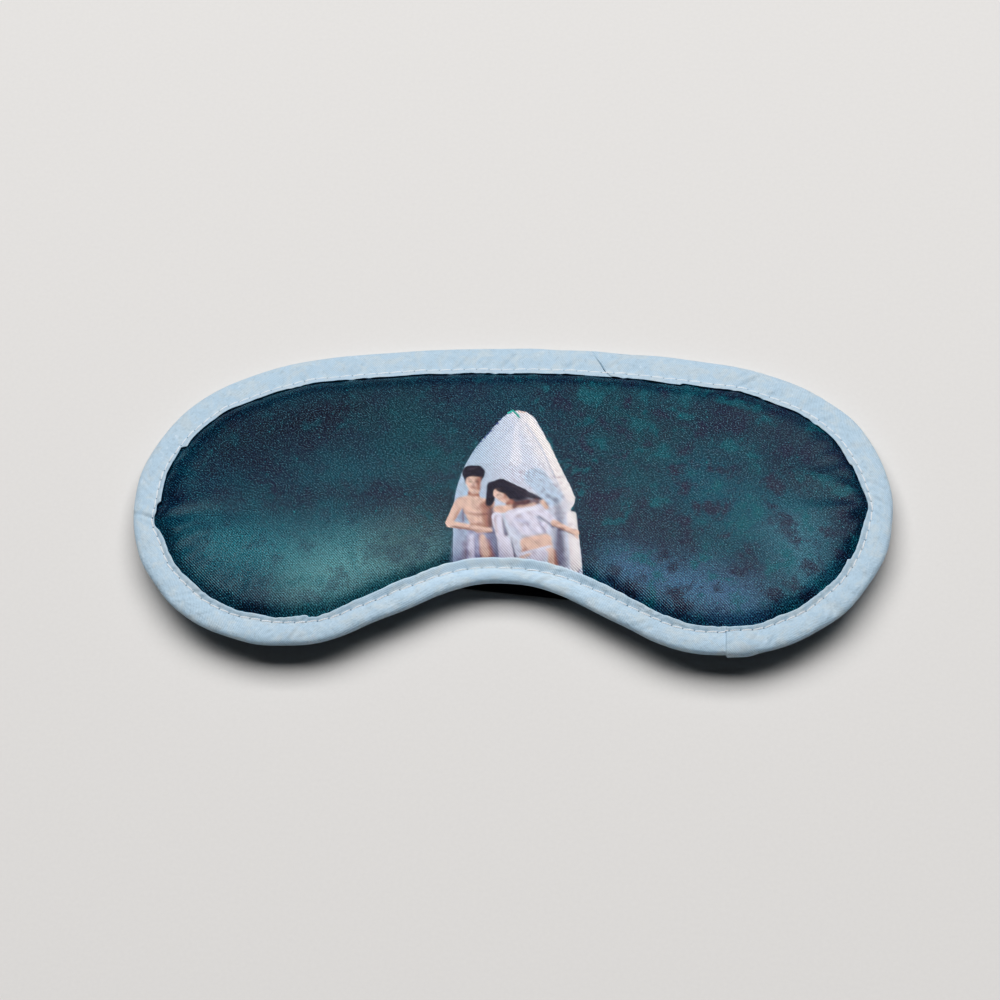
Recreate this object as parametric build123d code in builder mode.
"""Sleep mask with a crowned padded front, wrapped edge binding and an adjustable elastic head strap.

Everything is modelled flat first: +X towards the wearer's left temple, +Y up the forehead and +Z out of the
face, with the underside of the back cover at z = 0. The strap is tucked flat behind the mask in a zigzag.
At the end the whole mask is leaned back, so that it rests on the tucked strap and on its upper edge.
All sizes are in millimetres.
"""

import os
from math import atan2, cos, degrees, radians, sin, tan

from build123d import *

# Outline of the finished mask: tangent arcs from the top centre round to the nose arch.
HALF_HEIGHT = 48.8
TOP_RADIUS, TOP_TURN = 361.0, 9.0
SHOULDER_RADIUS, SHOULDER_TURN = 75.0, 21.5
TEMPLE_RADIUS = 45.0
NOSE_RADIUS, NOSE_TURN = 39.5, 28.5
TEMPLE_TURN = 180.0 + NOSE_TURN - TOP_TURN - SHOULDER_TURN

# Cloth layers, from the face outwards.
BACK_COVER = 0.4
LINING = 0.3
PAD_EDGE = 1.0
FRONT_COVER = 0.4
PAD_BASE = BACK_COVER + LINING
PAD_TOP = PAD_BASE + PAD_EDGE
PANEL_TOP = PAD_TOP + FRONT_COVER
# How far in from the edge the padding has risen to each height above PAD_BASE.
PAD_CROWN = ((8.4, 1.0), (12.0, 2.7), (19.0, 3.8), (30.0, 4.3))

# Folded bias tape round the edge.
TAPE = 0.6
TAPE_WIDTH = 8.0
TAPE_ROLL = 0.9
SEAM_OUTER, SEAM_INNER = (14.0, 51.6), (28.5, 33.2)
LAP_X = 61.5
LAP_LENGTH = 8.0
LAP_BOND = 2.0
LAP_RISE = 0.5

# Lockstitch that holds the tape.
STITCH_INSET = 5.9
STITCH_PITCH = 3.6
STITCH_LENGTH = 2.9
STITCH_WIDTH = 0.5
STITCH_RISE = 0.2

# Elastic strap. Heights are those of its middle layer.
STRAP_WIDTH = 15.0
STRAP = 0.8
STRAP_Y = -6.0
SEWN_Z = -1.25
SEWN_END_X = 103.0
SEWN_START_X = 95.0
UPPER_RUN_Z = -1.82
FOLD_RADIUS = 0.85
LEFT_FOLD_X = -38.0
RIGHT_FOLD_X = 20.0
RIGHT_FOLD_Y = -20.5
LANDING_X = -60.0
LANDING_Y = -13.0

# Ring that the strap turns back through, and its tab.
RING_WIRE = 1.8
RING_STRAP_X = 77.0
RING_TAB_X = 85.0
RING_SIDE_GAP = 0.8
RING_CORNER = 1.6
WRAP_GAP = 0.1
WRAP_RADIUS = RING_WIRE / 2 + WRAP_GAP + STRAP / 2
RING_Z = UPPER_RUN_Z - WRAP_RADIUS
RETURN_Z = RING_Z - WRAP_RADIUS
TAB_LAYER_GAP = 0.1

# Adjuster: two end bars above the strap's upper run and one centre bar below it.
ADJUSTER_X = 36.0
ADJUSTER_LENGTH = 11.0
ADJUSTER_TOP = -0.3
BAR_LENGTH, BAR_HEIGHT = 1.6, 1.0
RAIL_WIDTH = 1.4
RAIL_GAP = 0.3
BAR_ROUND = 0.35
LOOP_RADIUS = BAR_HEIGHT / 2 + WRAP_GAP / 2 + STRAP / 2
CENTRE_BAR_Z = RETURN_Z + LOOP_RADIUS
LOOP_END = 12.0
TAIL_START = 5.0
TAIL_GAP = 0.02
RETURN_GAP = 0.3
TAIL_STITCH_ROWS = (6.5, 10.5)
TAIL_STITCH_PITCH = 2.0

# Bar tacks across the sewn ends of the strap.
TACK_ROWS = 3
TACK_PITCH = 2.0
TACK_WIDTH = 0.8
TACK_RISE = 0.2

# Rest pose: leaned back about X until the upper edge and the strap's return lie on one plane.
EDGE_Y, EDGE_Z = HALF_HEIGHT - TAPE_ROLL, -TAPE
REST_Y, REST_Z = STRAP_Y + STRAP_WIDTH / 2, RETURN_Z - STRAP / 2
LEAN = degrees(atan2(EDGE_Z - REST_Z, EDGE_Y - REST_Y))


def straight_length():
    """Length of the straight between the temple arc and the nose arch that brings the arch to x = 0."""
    shoulder = radians(TOP_TURN + SHOULDER_TURN)
    reach = TOP_RADIUS * sin(radians(TOP_TURN))
    reach += SHOULDER_RADIUS * (sin(shoulder) - sin(radians(TOP_TURN)))
    reach -= TEMPLE_RADIUS * (sin(radians(NOSE_TURN)) + sin(shoulder))
    return (reach - NOSE_RADIUS * sin(radians(NOSE_TURN))) / cos(radians(NOSE_TURN))


STRAIGHT = straight_length()


def mask_face(inset, height):
    """The mask's outline, moved in by inset, as a face at the given height."""
    with BuildSketch(Plane.XY.offset(height)) as face:
        with BuildLine():
            top = JernArc((0, HALF_HEIGHT - inset), (1, 0), TOP_RADIUS - inset, -TOP_TURN)
            shoulder = JernArc(top @ 1, top % 1, SHOULDER_RADIUS - inset, -SHOULDER_TURN)
            temple = JernArc(shoulder @ 1, shoulder % 1, TEMPLE_RADIUS - inset, -TEMPLE_TURN)
            side = Line(temple @ 1, temple @ 1 + (temple % 1) * STRAIGHT)
            JernArc(side @ 1, temple % 1, NOSE_RADIUS + inset, NOSE_TURN)
            mirror(about=Plane.YZ)
        make_face()
    return face.sketch


def stacked(sections, mode=Mode.ADD):
    """Lofts the outline through (inset, height) sections into the part being built."""
    loft([mask_face(inset, height) for inset, height in sections], ruled=True, mode=mode)


def slab(inset, low, high, mode=Mode.ADD):
    """Extrudes the outline between two heights."""
    extrude(mask_face(inset, low), amount=high - low, mode=mode)


def rest_height(y, above):
    """Height, in the flat frame, of a point that lies above the resting plane."""
    return EDGE_Z + (y - EDGE_Y) * tan(radians(LEAN)) + above / cos(radians(LEAN))


def across(lean):
    """Direction across the strap where it is leaned about X."""
    return Vector(0, cos(radians(lean)), sin(radians(lean)))


def strap_run(*stations):
    """Lofts the strap's section through (x, y, z, lean) stations along it."""
    sections = []
    for x, y, z, lean in stations:
        with BuildSketch(Plane((x, y, z), x_dir=across(lean), z_dir=(1, 0, 0))) as section:
            Rectangle(STRAP_WIDTH, STRAP)
        sections.append(section.sketch)
    loft(sections, ruled=True)


def strap_fold(x, y, z, radius, side, lean=0.0):
    """Turns the strap through 180 degrees about an axis across it, bulging towards +X or -X."""
    with BuildSketch(Plane((x, y, z), x_dir=(1, 0, 0), z_dir=across(lean))) as bend:
        Circle(radius + STRAP / 2)
        Circle(radius - STRAP / 2, mode=Mode.SUBTRACT)
        align = Align.MIN if side > 0 else Align.MAX
        Rectangle(4 * radius, 4 * radius, align=(align, Align.CENTER), mode=Mode.INTERSECT)
    extrude(bend.sketch, amount=STRAP_WIDTH / 2, both=True)


def crowned(shift):
    """Height sections of the pad's crown, raised and pushed out by a cloth thickness."""
    return [(inset - shift, PAD_BASE + rise + shift) for inset, rise in PAD_CROWN]


# ---- Panels ----
with BuildPart() as back_cover:
    slab(TAPE, 0, BACK_COVER)

with BuildPart() as blackout_lining:
    slab(TAPE, BACK_COVER, PAD_BASE)

with BuildPart() as foam_pad:
    slab(TAPE, PAD_BASE, PAD_TOP)
    stacked(crowned(0))

with BuildPart() as front_cover:
    slab(TAPE, PAD_TOP, PANEL_TOP)
    stacked(crowned(FRONT_COVER))
    add(foam_pad.part, mode=Mode.SUBTRACT)

# ---- Edge binding ----
TAPE_LOW, TAPE_HIGH = -TAPE, PANEL_TOP + TAPE


def rolled_block(grow, mode=Mode.ADD):
    """The edge's outer shape, with its rim rolled over, grown outwards on every side."""
    foot = (TAPE_ROLL - grow, TAPE_LOW - grow)
    crest = (TAPE_ROLL - grow, TAPE_HIGH + grow)
    stacked((foot, (-grow, TAPE_LOW + TAPE_ROLL), (-grow, TAPE_HIGH - TAPE_ROLL), crest), mode=mode)


def tape_window():
    """Opens the block inside the tape's inner edge."""
    slab(TAPE_WIDTH, TAPE_LOW - 1, TAPE_HIGH + 1, mode=Mode.SUBTRACT)


TAPE_CUT = TAPE_LOW - 1
CUT_DEPTH = TAPE_HIGH - TAPE_LOW + 2


def short_tape_plan():
    """Plan of the stretch that the short tape covers, from the diagonal join round to the end of the lap."""
    with BuildSketch(Plane.XY.offset(TAPE_CUT)) as plan:
        end = LAP_X + LAP_LENGTH
        Polygon(SEAM_OUTER, (120, 60), (120, -60), (end, -60), (end, -30), (50, 0), SEAM_INNER, align=None)
    return plan.sketch


with BuildPart() as whole_tape:
    rolled_block(0)
    tape_window()
    slab(TAPE, 0, PANEL_TOP, mode=Mode.SUBTRACT)

with BuildPart() as edge_binding_long:
    add(whole_tape.part)
    extrude(short_tape_plan(), amount=CUT_DEPTH, mode=Mode.SUBTRACT)

with BuildPart() as lap_cover:
    rolled_block(LAP_RISE)
    tape_window()
    rolled_block(0, mode=Mode.SUBTRACT)
    with BuildSketch(Plane.XY.offset(TAPE_CUT)):
        with Locations((LAP_X, -45)):
            Rectangle(LAP_LENGTH + LAP_BOND, 30, align=(Align.MIN, Align.CENTER))
    extrude(amount=CUT_DEPTH, mode=Mode.INTERSECT)

with BuildPart() as edge_binding_short:
    add(whole_tape.part)
    extrude(short_tape_plan(), amount=CUT_DEPTH, mode=Mode.INTERSECT)
    add(lap_cover.part)

# ---- Lockstitch, one short bar for each visible stitch ----
SEAM = mask_face(STITCH_INSET, 0).face().outer_wire()
STITCH_COUNT = round(SEAM.length / STITCH_PITCH)


def seam_stitches():
    """Where each stitch lies along the seam, turned to follow it, leaving out the lap's end."""
    places = []
    for number in range(STITCH_COUNT):
        share = (number + 0.5) / STITCH_COUNT
        point, heading = SEAM @ share, SEAM % share
        if point.Y > 0 or abs(point.X - LAP_X) > STITCH_LENGTH:
            turn = degrees(atan2(heading.Y, heading.X))
            places.append(Location((point.X, point.Y, 0), (0, 0, turn)))
    return places


def on_lap(place):
    """True where a stitch lies on the lapped tape, which stands higher."""
    return place.position.Y < 0 and LAP_X < place.position.X < LAP_X + LAP_LENGTH + LAP_BOND


def at_lap_root(place):
    """True where a stitch would cross the step at the root of the lap."""
    root = LAP_X + LAP_LENGTH + LAP_BOND
    return place.position.Y < 0 and abs(place.position.X - root) < STITCH_LENGTH / 2


def thread_bars(places, low):
    """Rounded bars of thread standing on the plane z = low."""
    with BuildSketch(Plane.XY.offset(low)) as bars:
        with Locations(*places):
            SlotOverall(STITCH_LENGTH, STITCH_WIDTH)
    extrude(bars.sketch, amount=STITCH_RISE)


SEAM_PLACES = [place for place in seam_stitches() if not at_lap_root(place)]
PLAIN = [place for place in SEAM_PLACES if not on_lap(place)]
LAPPED = [place for place in SEAM_PLACES if on_lap(place)]

with BuildPart() as needle_thread:
    thread_bars(PLAIN, TAPE_HIGH)
    thread_bars(LAPPED, TAPE_HIGH + LAP_RISE)

with BuildPart() as bobbin_thread:
    thread_bars(PLAIN, TAPE_LOW - STITCH_RISE)
    thread_bars(LAPPED, TAPE_LOW - LAP_RISE - STITCH_RISE)

# ---- Strap, from its left sewn end to the ring ----
LANDING = (LANDING_X, LANDING_Y, rest_height(LANDING_Y, STRAP / 2), LEAN)
LOWER_TURN = (RIGHT_FOLD_X, RIGHT_FOLD_Y, rest_height(RIGHT_FOLD_Y, STRAP / 2), LEAN)
UPPER_TURN = (RIGHT_FOLD_X, RIGHT_FOLD_Y, rest_height(RIGHT_FOLD_Y, STRAP / 2 + 2 * FOLD_RADIUS), LEAN)
MIDDLE_END = (LEFT_FOLD_X, STRAP_Y, UPPER_RUN_Z - 2 * FOLD_RADIUS, 0)
TURN_Z = (LOWER_TURN[2] + UPPER_TURN[2]) / 2

with BuildPart() as strap_band:
    strap_run((-SEWN_END_X, STRAP_Y, SEWN_Z, 0), (-SEWN_START_X, STRAP_Y, SEWN_Z, 0))
    strap_run((-SEWN_START_X, STRAP_Y, SEWN_Z, 0), LANDING, LOWER_TURN)
    strap_fold(RIGHT_FOLD_X, RIGHT_FOLD_Y, TURN_Z, FOLD_RADIUS, 1, LEAN)
    strap_run(UPPER_TURN, MIDDLE_END)
    strap_fold(LEFT_FOLD_X, STRAP_Y, UPPER_RUN_Z - FOLD_RADIUS, FOLD_RADIUS, -1)
    strap_run((LEFT_FOLD_X, STRAP_Y, UPPER_RUN_Z, 0), (RING_STRAP_X, STRAP_Y, UPPER_RUN_Z, 0))
    strap_fold(RING_STRAP_X, STRAP_Y, RING_Z, WRAP_RADIUS, 1)

# ---- Strap, from the ring back to the adjuster ----
LOOP_END_X = ADJUSTER_X + LOOP_END

with BuildPart() as strap_return:
    strap_run((LOOP_END_X + RETURN_GAP, STRAP_Y, RETURN_Z, 0), (RING_STRAP_X, STRAP_Y, RETURN_Z, 0))

# ---- Strap's free end, folded round the adjuster's centre bar and sewn to itself ----
LOOP_TURN_X = ADJUSTER_X - (BAR_LENGTH - BAR_HEIGHT) / 2
LOOP_TOP_Z = RETURN_Z + 2 * LOOP_RADIUS
TAIL_Z = RETURN_Z + STRAP + TAIL_GAP

with BuildPart() as strap_end_loop:
    strap_run((LOOP_TURN_X, STRAP_Y, RETURN_Z, 0), (LOOP_END_X, STRAP_Y, RETURN_Z, 0))
    strap_fold(LOOP_TURN_X, STRAP_Y, CENTRE_BAR_Z, LOOP_RADIUS, -1)
    strap_run(
        (LOOP_TURN_X, STRAP_Y, LOOP_TOP_Z, 0),
        (ADJUSTER_X + BAR_LENGTH / 2, STRAP_Y, LOOP_TOP_Z, 0),
        (ADJUSTER_X + TAIL_START, STRAP_Y, TAIL_Z, 0),
        (LOOP_END_X, STRAP_Y, TAIL_Z, 0),
    )

TAIL_STITCH_COUNT = int((STRAP_WIDTH - STITCH_WIDTH) / TAIL_STITCH_PITCH)

with BuildPart() as loop_stitch:
    with BuildSketch(Plane.XY.offset(TAIL_Z + STRAP / 2)):
        for row in TAIL_STITCH_ROWS:
            with Locations((ADJUSTER_X + row, STRAP_Y)):
                with GridLocations(0, TAIL_STITCH_PITCH, 1, TAIL_STITCH_COUNT):
                    SlotOverall(TAIL_STITCH_PITCH * 0.8, STITCH_WIDTH, rotation=90)
    extrude(amount=STITCH_RISE)

# ---- Adjuster ----
BAR_SPAN = STRAP_WIDTH / 2 + RAIL_GAP + RAIL_WIDTH
END_BAR_X = ADJUSTER_LENGTH / 2 - BAR_LENGTH / 2
END_BAR_Z = ADJUSTER_TOP - BAR_HEIGHT / 2
ADJUSTER_FOOT = CENTRE_BAR_Z - BAR_HEIGHT / 2

with BuildPart() as strap_adjuster:
    with BuildSketch(Plane.XZ.offset(-STRAP_Y)) as bars:
        with Locations((ADJUSTER_X - END_BAR_X, END_BAR_Z), (ADJUSTER_X + END_BAR_X, END_BAR_Z)):
            SlotOverall(BAR_LENGTH, BAR_HEIGHT)
        with Locations((ADJUSTER_X, CENTRE_BAR_Z)):
            SlotOverall(BAR_LENGTH, BAR_HEIGHT)
    extrude(amount=BAR_SPAN - RAIL_WIDTH / 2, both=True)
    for side in (-1, 1):
        rail_y = STRAP_Y + side * (BAR_SPAN - RAIL_WIDTH / 2)
        with BuildSketch(Plane.XZ.offset(-rail_y)) as rail:
            with BuildLine():
                Polyline(
                    (ADJUSTER_X - ADJUSTER_LENGTH / 2, ADJUSTER_TOP),
                    (ADJUSTER_X + ADJUSTER_LENGTH / 2, ADJUSTER_TOP),
                    (ADJUSTER_X + ADJUSTER_LENGTH / 2, ADJUSTER_TOP - BAR_HEIGHT),
                    (ADJUSTER_X + BAR_LENGTH, ADJUSTER_FOOT),
                    (ADJUSTER_X - BAR_LENGTH, ADJUSTER_FOOT),
                    (ADJUSTER_X - ADJUSTER_LENGTH / 2, ADJUSTER_TOP - BAR_HEIGHT),
                    close=True,
                )
            make_face()
            fillet(rail.vertices(), radius=BAR_ROUND)
        extrude(amount=RAIL_WIDTH / 2, both=True)

# ---- Ring ----
RING_LENGTH = RING_TAB_X - RING_STRAP_X
RING_SPAN = STRAP_WIDTH + 2 * RING_SIDE_GAP + RING_WIRE

with BuildPart() as strap_ring:
    with BuildSketch(Plane((RING_STRAP_X + RING_LENGTH / 2, STRAP_Y, RING_Z))) as middle:
        RectangleRounded(RING_LENGTH, RING_SPAN, RING_CORNER)
    loop = middle.sketch.face().outer_wire()
    with BuildSketch(Plane(loop @ 0, z_dir=loop % 0)) as wire:
        Circle(RING_WIRE / 2)
    sweep(wire.sketch, path=loop)

# ---- Elastic tab that ties the ring to the right edge ----
TAB_LOWER_Z = SEWN_Z - STRAP - TAB_LAYER_GAP

with BuildPart() as ring_tab:
    strap_fold(RING_TAB_X, STRAP_Y, RING_Z, WRAP_RADIUS, -1)
    strap_run(
        (RING_TAB_X, STRAP_Y, UPPER_RUN_Z, 0), (SEWN_START_X, STRAP_Y, SEWN_Z, 0), (SEWN_END_X, STRAP_Y, SEWN_Z, 0)
    )
    strap_run(
        (RING_TAB_X, STRAP_Y, RETURN_Z, 0),
        (SEWN_START_X, STRAP_Y, TAB_LOWER_Z, 0),
        (SEWN_END_X, STRAP_Y, TAB_LOWER_Z, 0),
    )


# ---- Bar tacks ----
def bar_tack(side, under):
    """Dense rows of thread across a sewn end, on the face away from the mask."""
    with BuildSketch(Plane.XY.offset(under - TACK_RISE)) as rows:
        with Locations((side * (SEWN_END_X + SEWN_START_X) / 2, STRAP_Y)):
            with GridLocations(TACK_PITCH, 0, TACK_ROWS, 1):
                SlotOverall(STRAP_WIDTH - 2 * TACK_WIDTH, TACK_WIDTH, rotation=90)
    extrude(rows.sketch, amount=TACK_RISE)


with BuildPart() as left_bar_tack:
    bar_tack(-1, SEWN_Z - STRAP / 2)

with BuildPart() as right_bar_tack:
    bar_tack(1, TAB_LOWER_Z - STRAP / 2)

# ---- Labels, rest pose and files ----
NODES = {
    "front_cover": front_cover,
    "foam_pad": foam_pad,
    "blackout_lining": blackout_lining,
    "back_cover": back_cover,
    "edge_binding_long": edge_binding_long,
    "edge_binding_short": edge_binding_short,
    "needle_thread": needle_thread,
    "bobbin_thread": bobbin_thread,
    "strap_band": strap_band,
    "strap_return": strap_return,
    "strap_end_loop": strap_end_loop,
    "loop_stitch": loop_stitch,
    "strap_adjuster": strap_adjuster,
    "strap_ring": strap_ring,
    "ring_tab": ring_tab,
    "left_bar_tack": left_bar_tack,
    "right_bar_tack": right_bar_tack,
}

LEANED = Location((0, 0, 0), (-LEAN, 0, 0))
leaned = {name: LEANED * builder.part for name, builder in NODES.items()}
box = Compound(list(leaned.values())).bounding_box()
TO_ORIGIN = Location((-box.center().X, -box.center().Y, -box.min.Z))

os.makedirs("parts", exist_ok=True)
for name, part in leaned.items():
    placed = TO_ORIGIN * part
    placed.label = name
    export_step(placed, f"parts/{name}.step")

print(f"lean {LEAN:.3f} degrees, moved by {TO_ORIGIN.position}, overall {box.size}")
